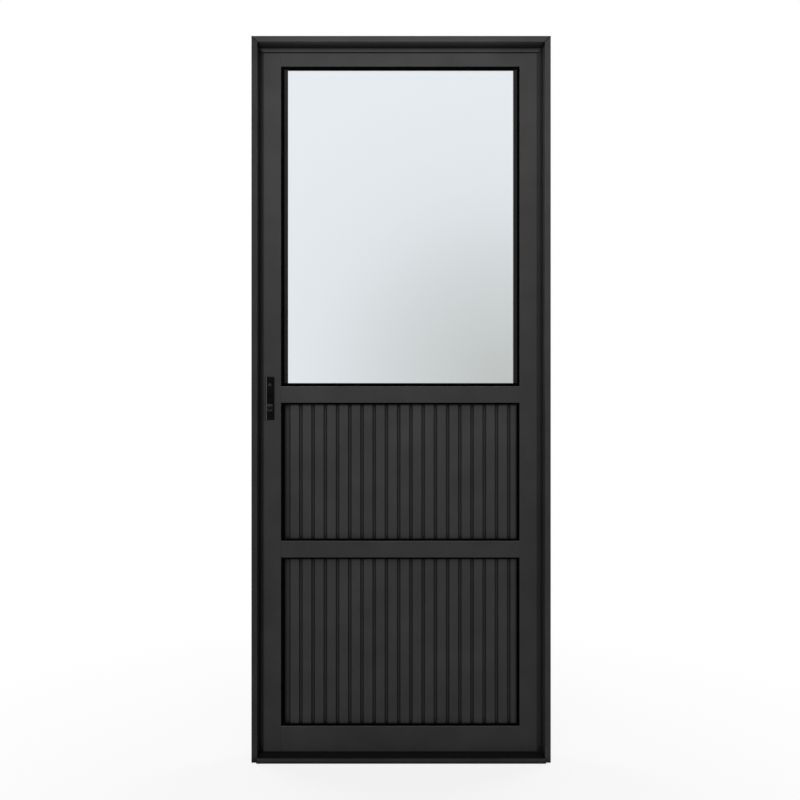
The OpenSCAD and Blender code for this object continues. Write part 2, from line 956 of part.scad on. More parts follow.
module right_glazing_bead() {
    mirror([1, 0, 0])
        glazing_bead(gasket_hinge);
}

// Rectangle ring inside an opening, from a margin inwards to the gasket widths
module opening_ring(o, margin, foot, top) {
    difference() {
        translate([-sight_x + margin, o[0] + margin])
            square([2 * (sight_x - margin), o[1] - o[0] - 2 * margin]);
        translate([-sight_x + gasket_lock, o[0] + foot])
            square([2 * sight_x - gasket_lock - gasket_hinge, o[1] - o[0] - foot - top]);
    }
}

// Gasket ring: a flap over the rib and a body that presses on what the opening holds
module gasket_ring(o, foot, top, back_d) {
    through_y(leaf_y + gasket_d, leaf_y + gasket_d + gasket_t)
        opening_ring(o, bed_gap, foot, top);
    through_y(leaf_y + gasket_d, leaf_y + back_d)
        opening_ring(o, rib_w + bed_gap, foot, top);
}

module glass_gasket() {
    hook_d = glass_front_d - joint_gap - bead_wall - bed_gap;
    color(rubber)
        difference() {
            gasket_ring(glass_z, gasket_foot, gasket_top, glass_front_d - bed_gap);
            translate([-sight_x, leaf_y + hook_d, glass_z[0] + gasket_foot])
                cube([2 * sight_x, leaf_t, glass_room]);
            both_sides()
                translate([-sight_x, leaf_y + rib_d, glass_z[0] + gasket_foot])
                    cube([bead_wall + 2 * bed_gap, leaf_t, glass_room]);
        }
}

module upper_panel_gasket() {
    color(rubber)
        gasket_ring(upper_z, gasket_panel, gasket_panel, slat_d - bed_gap);
}

module lower_panel_gasket() {
    color(rubber)
        gasket_ring(lower_z, gasket_panel, gasket_panel, slat_d - bed_gap);
}

// Slatted panels

// Front edge of a folded plank: the foot of its first slope, then flat, slope and floor of each slat
function slat_front(i) = [
    [i * slat_pitch - slat_slope, slat_floor_d],
    [i * slat_pitch, slat_d],
    [i * slat_pitch + slat_flat, slat_d],
    [i * slat_pitch + slat_flat + slat_slope, slat_floor_d]
];
function slat_back(i) = [
    [i * slat_pitch - slat_slope + slat_shift, slat_floor_d + slat_t],
    [i * slat_pitch + slat_shift, slat_d + slat_t],
    [i * slat_pitch + slat_flat - slat_shift, slat_d + slat_t],
    [i * slat_pitch + slat_flat + slat_slope - slat_shift, slat_floor_d + slat_t]
];
function reversed(list) = [for (i = [len(list) - 1:-1:0]) list[i]];

// Section of a whole plank: its last floor is the tongue, and its first foot holds the groove arm behind it
module plank_section() {
    tongue_x = plank_w - slat_slope - joint_gap;
    front = [for (i = [0:plank_slats - 1]) each slat_front(i)];
    back = [for (i = [0:plank_slats - 1]) each slat_back(i)];
    tongue = [[tongue_x, slat_floor_d], [tongue_x, slat_floor_d + slat_t]];
    arm_d = slat_floor_d + slat_t + joint_gap;
    union() {
        polygon(concat(front, tongue, reversed(back)));
        translate([-slat_slope, slat_floor_d])
            square([slat_t, arm_d - slat_floor_d + slat_t]);
        translate([-slat_slope - slat_floor - slat_t, arm_d])
            square([slat_floor + 2 * slat_t, slat_t]);
    }
}

// Stands a section between the plank ends of an opening
module stand(o, x) {
    translate([x, leaf_y, o[0] + plank_end])
        linear_extrude(o[1] - o[0] - 2 * plank_end)
            children();
}

module plank(o, i) {
    color(black)
        stand(o, first_slat_x + (i - 1) * plank_w)
            plank_section();
}

// The last plank, cut down to the width that is left
module cut_plank(o) {
    start = first_slat_x + plank_count * plank_w;
    color(black)
        stand(o, start)
            intersection() {
                plank_section();
                translate([-plank_w, 0])
                    square([plank_w + panel_x - start, leaf_t]);
            }
}

// Plain strip at floor level with a heel on the rear fin
module starter_strip(o) {
    heel_d = fin_d - bed_gap;
    color(black)
        stand(o, -panel_x) {
            translate([0, slat_floor_d])
                square([starter_w, slat_t]);
            translate([0, slat_floor_d])
                square([2 * slat_t, heel_d - slat_floor_d]);
        }
}

// Lock

// Outline with a square top and a half-round foot, standing at the origin
module thumb_outline(w, h) {
    translate([0, w / 2])
        circle(w / 2);
    translate([-w / 2, w / 2])
        square([w, h - w / 2]);
}

// Plate with a bevelled edge, a recess for the slider, a raised arrow and two snap lugs
module lock_plate() {
    slope = plate_bevel;
    half_w = plate_w / 2;
    half_h = plate_h / 2;
    color(lock_black)
        difference() {
            union() {
                intersection() {
                    translate([lock_x, leaf_y, lock_z - half_h])
                        linear_extrude(plate_h)
                            bevel_outline(half_w, slope);
                    translate([lock_x + half_w, leaf_y, lock_z])
                        rotate([0, -90, 0])
                            linear_extrude(plate_w)
                                bevel_outline(half_h, slope);
                }
                translate([lock_x - cup_out, leaf_y - eps, cup_z0 - cup_wall])
                    cube([2 * cup_out, cup_floor_d + eps, cup_h + 2 * cup_wall]);
                for (z = [cup_z0 - cup_wall - lug_reach, cup_z1 + cup_wall - lug_reach])
                    translate([lock_x - lug_w / 2, leaf_y + leaf_wall + bed_gap, z])
                        cube([lug_w, lug_t, 2 * lug_reach]);
                translate([lock_x, 0, arrow_z])
                    through_y(leaf_y - plate_t - arrow_t, leaf_y)
                        arrow_outline();
            }
            translate([lock_x, 0, cup_z0])
                through_y(leaf_y - 2 * plate_t, leaf_y + cup_d)
                    thumb_outline(cup_w, cup_h);
            translate([stem_x - stem_w / 2 - slide_gap, leaf_y, stem_z - stem_h / 2 - slide_gap])
                cube([stem_w + 2 * slide_gap, leaf_t / 2, stem_h + throw + 2 * slide_gap]);
        }
}

// Open arrow head that points up, its foot at the origin
module arrow_outline() {
    out = arrow_w / 2;
    polygon([
        [-out, 0],
        [-out + arrow_arm, 0],
        [0, arrow_h - arrow_dip],
        [out - arrow_arm, 0],
        [out, 0],
        [0, arrow_h]
    ]);
}

// Half width against depth, bevelled on the front
module bevel_outline(half, slope) {
    polygon([
        [-half, 0],
        [-half, -plate_t + slope],
        [-half + slope, -plate_t],
        [half - slope, -plate_t],
        [half, -plate_t + slope],
        [half, 0]
    ]);
}

// Slider: a dished thumb pad, a stem through the recess floor and a tail with a slot for the crank
module thumb_slider() {
    body_d = cup_d - slide_gap;
    dish_w = slider_w - 2 * slider_rim;
    color(lock_black)
        difference() {
            union() {
                translate([lock_x, 0, slider_z0])
                    through_y(leaf_y + slider_face_d, leaf_y + body_d)
                        thumb_outline(slider_w, slider_h);
                translate([stem_x - stem_w / 2, leaf_y, stem_z - stem_h / 2])
                    cube([stem_w, tail_d + tail_t / 2, stem_h]);
                translate([stem_x - tail_w / 2, leaf_y + tail_d, stem_z - tail_h / 2])
                    cube([tail_w, tail_t, tail_h]);
            }
            translate([lock_x, 0, slider_z0 + slider_rim])
                through_y(leaf_y - 2 * plate_t, leaf_y + slider_face_d + slider_dish)
                    thumb_outline(dish_w, slider_h - slider_rim - slider_brow);
            translate([stem_x + pin_rise / 2 - pin_rise, leaf_y + tail_d, stem_z - pin_slot / 2])
                cube([2 * pin_rise, 2 * tail_t, pin_slot]);
            for (x = [-pin_rise / 2, 3 * pin_rise / 2])
                translate([stem_x + x, 0, stem_z])
                    through_y(leaf_y + tail_d, leaf_y + leaf_t)
                        circle(pin_slot / 2);
        }
}

// Bell crank: one arm to the slider, one down to the bolt, with a pin at each tip
module bell_crank() {
    color(steel)
        translate([crank_x, 0, crank_z])
            rotate([0, crank_rest, 0])
                difference() {
                    union() {
                        through_y(leaf_y + crank_d, leaf_y + crank_d + crank_t) {
                            circle(crank_hub_r);
                            translate([-crank_r, -crank_arm_r])
                                square([crank_r, 2 * crank_arm_r]);
                            translate([-crank_arm_r, -crank_r])
                                square([2 * crank_arm_r, crank_r]);
                            translate([-crank_r, 0])
                                circle(crank_arm_r);
                            translate([0, -crank_r])
                                circle(crank_arm_r);
                        }
                        translate([-crank_r, 0, 0])
                            through_y(leaf_y + tail_d + layer_gap, leaf_y + crank_d + eps)
                                circle(crank_pin_r);
                        translate([0, 0, -crank_r])
                            through_y(leaf_y + crank_d, leaf_y + bolt_d1 - layer_gap)
                                circle(crank_pin_r);
                    }
                    through_y(leaf_y, leaf_y + leaf_t)
                        circle(crank_post_r + pin_fit);
                }
}

// Dead bolt: a square head at the leaf edge and a thin tail with an upright slot for the crank
module dead_bolt() {
    tail_d0 = bolt_d1 - bolt_tail_t;
    slot_z = crank_z - crank_r * (1 + cos(crank_rest)) / 2;
    color(steel)
        difference() {
            union() {
                translate([-leaf_x, leaf_y + bolt_d1 - bolt_t, bolt_z - bolt_h / 2])
                    cube([bolt_head_l, bolt_t, bolt_h]);
                translate([-leaf_x, leaf_y + tail_d0, bolt_z - bolt_h / 2])
                    cube([bolt_end_x + leaf_x, bolt_tail_t, bolt_h]);
            }
            translate([bolt_pin_x - pin_slot / 2, leaf_y + tail_d0 - eps, slot_z - pin_rise])
                cube([pin_slot, bolt_tail_t + 2 * eps, 2 * pin_rise]);
            for (s = [-1, 1])
                translate([bolt_pin_x, 0, slot_z + s * pin_rise])
                    through_y(leaf_y + tail_d0 - eps, leaf_y + bolt_d1 + eps)
                        circle(pin_slot / 2);
        }
}

// Case: a folded tray with the crank's post, a guide over the bolt and ears behind the stile edge
module lock_case() {
    guide_z = bolt_z + bolt_h / 2 + slide_gap;
    bolt_gap = bolt_h / 2 + slide_gap;
    color(steel)
        difference() {
            union() {
                translate([case_x0, leaf_y + case_d, case_z0])
                    cube([case_x1 - case_x0, case_t, case_z1 - case_z0 + case_t]);
                for (z = [case_z0, case_z1])
                    translate([case_x0, leaf_y + tail_d, z])
                        cube([case_x1 - case_x0, case_d - tail_d + case_t, case_t]);
                translate([case_x0, strike_y - ear_t, bolt_z - ear_z])
                    cube([case_t, 2 * ear_t, 2 * ear_z]);
                translate([case_x0, leaf_y + bolt_d1 - bolt_tail_t, guide_z])
                    cube([crank_x - crank_hub_r - case_x0, case_d - bolt_d1 + bolt_tail_t + eps, case_t]);
                translate([crank_x, 0, crank_z])
                    through_y(leaf_y + crank_d - layer_gap, leaf_y + case_d + eps)
                        circle(crank_post_r);
            }
            translate([case_x0 - eps, strike_y - bolt_t / 2 - slide_gap, bolt_z - bolt_gap])
                cube([case_t + 2 * eps, bolt_t + 2 * slide_gap, 2 * bolt_gap]);
            at_face_screws()
                translate([0, 0, -leaf_wall - case_t - eps])
                    cylinder(h = 2 * case_t + eps, r = screw_r + screw_fit);
        }
}

// Screws in the edge faceplate, their heads flush with the leaf edge
module at_face_screws() {
    for (s = [-1, 1])
        facing_left(-leaf_x, strike_y, bolt_z + s * face_screw_z)
            children();
}

module edge_faceplate() {
    bolt_gap = bolt_h / 2 + slide_gap;
    color(steel)
        difference() {
            translate([-leaf_x, strike_y - face_w / 2, bolt_z - face_h / 2])
                cube([leaf_wall, face_w, face_h]);
            translate([-leaf_x - eps, strike_y - bolt_t / 2 - slide_gap, bolt_z - bolt_gap])
                cube([leaf_wall + 2 * eps, bolt_t + 2 * slide_gap, 2 * bolt_gap]);
            at_face_screws()
                flat_hole(leaf_wall);
        }
}

module faceplate_screws() {
    color(steel)
        at_face_screws()
            flat_screw(leaf_wall, hinge_screw_l);
}

left_jamb();
right_jamb();
head();
sill();
corner_cleats();
sill_screws();
left_stop_seal();
right_stop_seal();
head_stop_seal();
sill_seal();
strike_plate();
strike_screws();
for (i = [0:2]) {
    hinge_frame_plate(i);
    hinge_leaf_plate(i);
}
hinge_pins();
hinge_frame_screws();
hinge_leaf_screws();
lock_stile();
hinge_stile();
top_rail();
lock_rail();
lower_rail();
bottom_rail();
rail_screws();
stile_caps();
glass_pane();
setting_blocks();
left_glazing_bead();
right_glazing_bead();
glass_gasket();
upper_panel_gasket();
lower_panel_gasket();
starter_strip(upper_z);  // upper_starter_strip
cut_plank(upper_z);  // upper_cut_plank
starter_strip(lower_z);  // lower_starter_strip
cut_plank(lower_z);  // lower_cut_plank
for (i = [1:plank_count]) {
    plank(upper_z, i);
    plank(lower_z, i);
}
lock_plate();
lock_case();
edge_faceplate();
faceplate_screws();
thumb_slider();
bell_crank();
dead_bolt();
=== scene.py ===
"""Looks of a matte black aluminium entrance door: a glass light over two slatted panels, in its own frame.

Metres, in the frame's own axes: the front faces -Y and +Z is up.
"""
import math

import bpy
import numpy as np
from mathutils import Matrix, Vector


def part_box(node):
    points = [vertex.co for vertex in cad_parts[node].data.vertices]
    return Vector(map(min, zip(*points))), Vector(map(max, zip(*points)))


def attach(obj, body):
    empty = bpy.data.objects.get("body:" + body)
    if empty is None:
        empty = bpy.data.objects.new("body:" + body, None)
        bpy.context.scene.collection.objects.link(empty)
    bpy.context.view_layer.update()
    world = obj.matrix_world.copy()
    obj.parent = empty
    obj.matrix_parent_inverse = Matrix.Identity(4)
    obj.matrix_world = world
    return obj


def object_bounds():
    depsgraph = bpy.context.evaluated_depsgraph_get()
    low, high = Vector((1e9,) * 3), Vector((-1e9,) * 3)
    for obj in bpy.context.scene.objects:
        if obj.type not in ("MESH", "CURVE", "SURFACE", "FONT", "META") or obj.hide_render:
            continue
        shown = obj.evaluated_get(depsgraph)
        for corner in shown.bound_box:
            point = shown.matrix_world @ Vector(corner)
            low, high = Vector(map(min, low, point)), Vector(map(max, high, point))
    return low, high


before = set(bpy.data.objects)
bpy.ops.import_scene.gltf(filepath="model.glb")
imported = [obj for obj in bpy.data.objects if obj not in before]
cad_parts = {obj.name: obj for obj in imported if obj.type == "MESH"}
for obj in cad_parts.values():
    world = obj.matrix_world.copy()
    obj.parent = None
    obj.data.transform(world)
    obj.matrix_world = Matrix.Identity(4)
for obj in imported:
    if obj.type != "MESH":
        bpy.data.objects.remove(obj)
cad_low, cad_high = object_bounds()

# Camera, as the photograph shows the door
PICTURE_PX = 800
METRES_PER_PX = 2.884e-3
DOOR_MIDDLE_PX = (401.13, 399.74)
EYE_DISTANCE = 2.56
EYE_X = -0.12
EYE_Z = 0.985
SENSOR_MM = 36.0

# Floor and world; the floor's share of white grows over a run of distances from the door
WHITE = (1.0, 1.0, 1.0, 1.0)
FLOOR_SIZE = 30.0
FLOOR_GAP = 0.0005
FLOOR_PAINT = (0.82, 0.82, 0.82, 1.0)
FLOOR_ROUGH = 0.9
FLOOR_WHITE_SHARES = (0.86, 1.0)
FLOOR_WHITE_RUN = (0.3, 1.8)
FILL_LIGHT = 0.03

# Lamps: a key lamp close to the top of the door, a broad lamp in front, and a pair behind
KEY_PLACE = (-0.02, -1.04, 1.95)
KEY_AIM = (-0.02, 0.0, 1.95)
KEY_SIZE = (0.3, 0.57)
KEY_WATTS = 9.1
FRONT_PLACE = (-1.1, -5.8, 1.25)
FRONT_AIM = (0.0, 0.0, 1.2)
FRONT_SIZE = (2.0, 1.6)
FRONT_WATTS = 137.0
REAR_PLACE = (2.4, 1.7, 2.4)
REAR_AIM = (0.0, 0.0, 1.1)
REAR_SIZE = (1.4, 1.4)
REAR_WATTS = 60.0

# Backdrop that only shows through the glass and paints a soft grey shade into the pane; its tones are
# given by shares of the shade's reach
BACKDROP_X = (-2.2, 3.2)
BACKDROP_Y = 1.5
BACKDROP_Z = (0.0, 4.0)
SHADE_PLACE = (0.55, 1.5, 1.15)
SHADE_REACH = 1.75
SHADE_TONES = (
    (0.0, (0.57, 0.57, 0.53)),
    (0.3, (0.77, 0.78, 0.76)),
    (0.55, (0.93, 0.95, 0.94)),
    (1.0, (1.0, 1.0, 1.0)),
)

# Painted shade in recesses, outer edges paler by wear and a painted highlight, painted light or shade on
# top edges, and painted light and shade on undersides of the coated profiles
OPENING_SAMPLES = 8
ROUNDING_SAMPLES = 6
RECESS_END = 1.0
EDGE_REACH = 0.001
EDGE_GAIN = 1.8
EDGE_RUN = (0.5, 0.95)
FACING_RADIUS = 0.002
TOP_FACING_RUN = (0.08, 0.5)
UNDERSIDE_FACING = (-0.9, -0.5)
UNDERSIDE_SHARES = (1.35, 0.45)
UNDERSIDE_DEPTH = 0.03

# Finishes; the middle of a noise is where most of its values lie
NOISE_MIDDLE = (0.3, 0.7)
COAT_WARMTH = 0.01
COAT_GLOSS = 0.03
RUBBER_GLOSS = 0.006
PLASTIC_GLOSS = 0.01
GLASS_BODY = (0.8, 0.842, 0.88, 1.0)
GLASS_SHADOW = (0.86, 0.9, 0.92, 1.0)
GLASS_IOR = 1.52

# Painted highlights on the lock, and a paler arrow, measured in from the boxes of its plate and its thumb
# slider
MARK_BLUR = 0.0003
PLATE_RIM_X = (0.0013, 0.0040)
PLATE_RIM_HIGHLIGHT_GREY = 0.09
ARROW_DEPTH = 0.0003
ARROW_GREY = 0.07
KNOB_FOOT = 0.0063
KNOB_TOP = 0.0057
KNOB_BROW_H = 0.0055
KNOB_ARC_H = 0.0065
KNOB_ARC_DEPTH = 0.0006
KNOB_HIGHLIGHT_GREY = 0.052

# Sealant in the mitres of the head
FLANGE_W = 0.0165
FLANGE_R = 0.0022
REVEAL_EDGE_R = 0.0012
MITRE_START = 0.0006
MITRE_W = 0.0018
MITRE_PROUD = 0.00015
MITRE_STEPS = 40
MITRE_SECTION_STEPS = 9

# Sealant behind the glass; the fins of the leaf lap over the edges of the pane
FIN_LAP_X = 0.011
FIN_LAP_Z = 0.003
SEALANT_W = 0.0012
SEALANT_H = 0.0017
SEALANT_CURVE = 1.8
SEALANT_STEPS = 8
CORNER_R = 0.006
CORNER_STEPS = 7


# Node helpers

def wire(tree, node, sockets):
    """Fills a node's sockets: another node's output is linked, and a plain value is set."""
    for socket, value in sockets.items():
        if isinstance(value, bpy.types.NodeSocket):
            tree.links.new(value, node.inputs[socket])
        else:
            node.inputs[socket].default_value = value


def new_node(tree, kind, sockets, **settings):
    """A new shader node with its settings made and its sockets filled."""
    node = tree.nodes.new("ShaderNode" + kind)
    for setting, value in settings.items():
        setattr(node, setting, value)
    wire(tree, node, sockets)
    return node


def new_finish(name):
    """An empty finish: the material, its tree, its shader and its Object coordinates in metres."""
    material = bpy.data.materials.new(name)
    material.use_nodes = True
    tree = material.node_tree
    shader = tree.nodes["Principled BSDF"]
    place = new_node(tree, "TexCoord", {}).outputs["Object"]
    return material, tree, shader, place


def grey(level, warm=0.0):
    """A near neutral colour, a little warmer where warm is above 0."""
    return (level * (1.0 + warm), level, level * (1.0 - warm))


def stretched(tree, place, scale):
    """Coordinates multiplied by a factor along each axis; a small factor draws the pattern out."""
    return new_node(tree, "Mapping", {"Vector": place, "Scale": scale}).outputs["Vector"]


def along(tree, vector, axis):
    """One coordinate of a vector."""
    return new_node(tree, "SeparateXYZ", {"Vector": vector}).outputs[axis]


def grain(tree, place, cells, detail=2.0):
    """Noise with this many cells to the metre, from 0 to 1 about a middle of 0.5."""
    return new_node(tree, "TexNoise", {"Vector": place, "Scale": cells, "Detail": detail}).outputs["Fac"]


def between(tree, value, ends, run=NOISE_MIDDLE):
    """Goes evenly from the first end to the last as the value goes over the run, and no further."""
    span = new_node(tree, "MapRange", {
        "Value": value,
        "From Min": run[0],
        "From Max": run[1],
        "To Min": ends[0],
        "To Max": ends[1],
    })
    return span.outputs["Result"]


def colour_run(tree, value, stops, curve="LINEAR"):
    """Goes through colours as the value grows. A stop is a value and the colour there."""
    ramp = new_node(tree, "ValToRGB", {"Fac": value})
    ramp.color_ramp.interpolation = curve
    elements = ramp.color_ramp.elements
    while len(elements) < len(stops):
        elements.new(stops[len(elements) - 1][0])
    for element, (position, colour) in zip(elements, stops):
        element.position = position
        element.color = (*colour, 1.0)
    return ramp.outputs["Color"]


def greys(tree, value, first, last, run=NOISE_MIDDLE, warm=0.0):
    """Goes from one grey to another as the value goes over the run."""
    return colour_run(tree, value, ((run[0], grey(first, warm)), (run[1], grey(last, warm))))


def combined(tree, operation, first, second):
    """Two values put together by one operation."""
    return new_node(tree, "Math", {0: first, 1: second}, operation=operation).outputs["Value"]


def times(tree, colour, share, amount=1.0):
    """One colour multiplied by another, by an amount from 0 to 1."""
    sockets = {"Factor": amount, "A": colour, "B": share}
    return new_node(tree, "Mix", sockets, data_type="RGBA", blend_type="MULTIPLY").outputs["Result"]


def painted(tree, colour, share, level):
    """A colour that turns to a plain grey by a share from 0 to 1."""
    sockets = {"Factor": share, "A": colour, "B": (*grey(level), 1.0)}
    return new_node(tree, "Mix", sockets, data_type="RGBA").outputs["Result"]


def mixed(tree, share, first, last):
    """The first shader where the share is 0, and the last where it is 1."""
    return new_node(tree, "MixShader", {"Fac": share, 1: first, 2: last}).outputs["Shader"]


def softened_edges(tree, radius):
    """Normals that round each edge over this radius."""
    return new_node(tree, "Bevel", {"Radius": radius}, samples=ROUNDING_SAMPLES).outputs["Normal"]


def relief(tree, height, depth, strength, under=None):
    """Raises the surface by depth metres where height is 1, over the normals under it."""
    bump = new_node(tree, "Bump", {"Height": height, "Distance": depth, "Strength": strength})
    if under is not None:
        wire(tree, bump, {"Normal": under})
    return bump.outputs["Normal"]


def past(tree, place, axis, start, end):
    """0 before start and 1 past end, along one axis of the Object coordinates."""
    return between(tree, along(tree, place, axis), (0.0, 1.0), (start, end))


# Painted light and shade, and edge wear, on the coated profiles

def painted_recess_shade(tree, colour, reach, shade, start):
    """Paints shade into a colour in narrow recesses and inner corners, where the open sky within reach is
    hidden.
    It is darkest where the share of open sky is at or under start."""
    opening = new_node(tree, "AmbientOcclusion", {"Distance": reach}, samples=OPENING_SAMPLES)
    return times(tree, colour, greys(tree, opening.outputs["AO"], shade, 1.0, (start, RECESS_END)))


def worn_and_highlit_edges(tree, colour):
    """Lightens a colour along outer edges: partly wear where the coat is thin and rubbed, partly a painted
    highlight.
    """
    sockets = {"Distance": EDGE_REACH}
    wall = new_node(
        tree, "AmbientOcclusion", sockets, samples=OPENING_SAMPLES, inside=True, only_local=True)
    return times(tree, colour, greys(tree, wall.outputs["AO"], EDGE_GAIN, 1.0, EDGE_RUN))


def painted_top_light(tree, colour, gain):
    """Paints light or shade by a gain where a rounded edge turns upwards: a gain above 1 is a painted
    highlight, and one under 1 painted shade.
    """
    upward = along(tree, softened_edges(tree, FACING_RADIUS), "Z")
    return times(tree, colour, greys(tree, upward, 1.0, gain, TOP_FACING_RUN))


def painted_underside_light(tree, place, colour):
    """Paints light and shade on a face that looks down: lighter near the front of the frame, and darker
    the further it lies behind it.
    """
    upward = along(tree, softened_edges(tree, FACING_RADIUS), "Z")
    downward = between(tree, upward, (1.0, 0.0), UNDERSIDE_FACING)
    depth_run = (cad_low[1], cad_low[1] + UNDERSIDE_DEPTH)
    share = between(tree, along(tree, place, "Y"), UNDERSIDE_SHARES, depth_run)
    return times(tree, colour, share, downward)


# Finishes

def powder_coat(name, level, edge_radius, reach, shade, start=0.5, top_light_gain=None, underside=False):
    """Matte black powder coat: fine grit over a faint orange peel, with a slow drift in tone.
    It is paler on outer edges, partly by wear and partly as a painted highlight, and has painted shade in
    recesses within reach, down to the given shade.
    A gain paints light or shade on its top edges, and an underside has painted light at the front and
    painted shade towards the back."""
    material, tree, shader, place = new_finish(name)
    drift = grain(tree, place, cells=9.0, detail=3.0)
    grit = grain(tree, place, cells=2600.0, detail=1.0)
    peel = grain(tree, place, cells=320.0)
    colour = greys(tree, drift, level * 0.9, level * 1.1, warm=COAT_WARMTH)
    colour = painted_recess_shade(tree, worn_and_highlit_edges(tree, colour), reach, shade, start)
    if top_light_gain is not None:
        colour = painted_top_light(tree, colour, top_light_gain)
    if underside:
        colour = painted_underside_light(tree, place, colour)
    edges = softened_edges(tree, edge_radius)
    waves = relief(tree, peel, depth=0.00008, strength=0.6, under=edges)
    wire(tree, shader, {
        "Base Color": colour,
        "Roughness": between(tree, peel, (0.46, 0.6)),
        "Normal": relief(tree, grit, depth=0.00003, strength=0.5, under=waves),
        "Specular IOR Level": COAT_GLOSS,
    })
    return material


def gasket_rubber_and_gap_shade(name):
    """Black extruded rubber: very dark, darker than rubber itself as painted shade in the gaps it lies in,
    and dull, with a faint bloom and fine pores.
    """
    material, tree, shader, place = new_finish(name)
    bloom = grain(tree, place, cells=60.0, detail=3.0)
    pores = grain(tree, place, cells=1800.0)
    wire(tree, shader, {
        "Base Color": greys(tree, bloom, 0.0008, 0.0016),
        "Roughness": between(tree, pores, (0.62, 0.78)),
        "Normal": relief(tree, pores, depth=0.00004, strength=0.5),
        "Specular IOR Level": RUBBER_GLOSS,
    })
    return material


def moulded_plastic(name, level, rough, edge_radius, marks=()):
    """Black moulded plastic with a fine spark-eroded grain.
    A mark is a level of grey and the bounds (axis, start, end) past which the moulding turns to it; most
    marks are painted highlights."""
    material, tree, shader, place = new_finish(name)
    spark = grain(tree, place, cells=2200.0)
    flow = grain(tree, place, cells=45.0, detail=3.0)
    colour = greys(tree, flow, level * 0.85, level * 1.15)
    for mark_grey, bounds in marks:
        share = past(tree, place, *bounds[0])
        for bound in bounds[1:]:
            share = combined(tree, "MULTIPLY", share, past(tree, place, *bound))
        colour = painted(tree, colour, share, mark_grey)
    edges = softened_edges(tree, edge_radius)
    wire(tree, shader, {
        "Base Color": colour,
        "Roughness": between(tree, spark, (rough - 0.06, rough + 0.06)),
        "Normal": relief(tree, spark, depth=0.00003, strength=0.5, under=edges),
        "Specular IOR Level": PLASTIC_GLOSS,
    })
    return material


def satin_paint(name, level):
    """Satin black paint on steel: smoother than the powder coat, with a slight flow in it."""
    material, tree, shader, place = new_finish(name)
    flow = grain(tree, place, cells=180.0)
    edges = softened_edges(tree, radius=0.0004)
    wire(tree, shader, {
        "Base Color": greys(tree, flow, level * 0.9, level * 1.1),
        "Roughness": between(tree, flow, (0.34, 0.44)),
        "Normal": relief(tree, flow, depth=0.00005, strength=0.5, under=edges),
    })
    return material


def bare_metal(name, level, rough, brush):
    """Bare metal: brushed along one axis, with a cloudy tone as plating and mill finish have."""
    material, tree, shader, place = new_finish(name)
    cloud = grain(tree, place, cells=70.0, detail=4.0)
    lines = grain(tree, stretched(tree, place, brush), cells=1500.0, detail=3.0)
    edges = softened_edges(tree, radius=0.0003)
    wire(tree, shader, {
        "Base Color": greys(tree, cloud, level * 0.88, level * 1.1),
        "Roughness": between(tree, lines, (rough - 0.08, rough + 0.1)),
        "Normal": relief(tree, lines, depth=0.00003, strength=0.4, under=edges),
        "Metallic": 1.0,
    })
    return material


def float_glass(name):
    """Clear float glass with a pale blue-green body and a faint ripple; lamps shine through it."""
    material, tree, shader, place = new_finish(name)
    ripple = grain(tree, place, cells=3.0, detail=1.0)
    wire(tree, shader, {
        "Base Color": GLASS_BODY,
        "Roughness": 0.0,
        "IOR": GLASS_IOR,
        "Transmission Weight": 1.0,
        "Normal": relief(tree, ripple, depth=0.0004, strength=0.2),
    })
    shadow_ray = new_node(tree, "LightPath", {}).outputs["Is Shadow Ray"]
    clear = new_node(tree, "BsdfTransparent", {"Color": GLASS_SHADOW})
    surface = mixed(tree, shadow_ray, shader.outputs["BSDF"], clear.outputs["BSDF"])
    wire(tree, tree.nodes["Material Output"], {"Surface": surface})
    return material


def plate_highlight_and_arrow_marks():
    """Marks of the lock plate: a painted highlight down its left rim, and a paler grey on the raised arrow
    on its front.
    """
    low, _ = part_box("lock_plate")
    start, end = low[0] + PLATE_RIM_X[0], low[0] + PLATE_RIM_X[1]
    rim = (("X", start, start + MARK_BLUR), ("X", end + MARK_BLUR, end))
    arrow = (("Y", low[1] + ARROW_DEPTH, low[1]),)
    return ((PLATE_RIM_HIGHLIGHT_GREY, rim), (ARROW_GREY, arrow))


def slider_highlight_marks():
    """Marks of the thumb slider, both painted highlights: a brow under the top of its knob, and an arc
    round the knob's foot.
    """
    low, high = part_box("thumb_slider")
    foot, top = low[2] + KNOB_FOOT, high[2] - KNOB_TOP
    brow_start, arc_end = top - KNOB_BROW_H, foot + KNOB_ARC_H
    brow = (("Z", brow_start, brow_start + MARK_BLUR), ("Z", top + MARK_BLUR, top))
    arc = (("Z", arc_end, arc_end - MARK_BLUR), ("Y", low[1] + KNOB_ARC_DEPTH, low[1]))
    return ((KNOB_HIGHLIGHT_GREY, brow), (KNOB_HIGHLIGHT_GREY, arc))


# Each coat has painted shade in its recesses; the leaf's top edges carry a painted highlight, the sill's
# top painted shade, and the head's underside painted light and shade.
head_coat = powder_coat(
    "head_powder_coat", level=0.049, edge_radius=0.0008, reach=0.012, shade=0.28, underside=True)
frame_coat = powder_coat(
    "frame_powder_coat", level=0.047, edge_radius=0.0008, reach=0.025, shade=0.22, start=0.52)
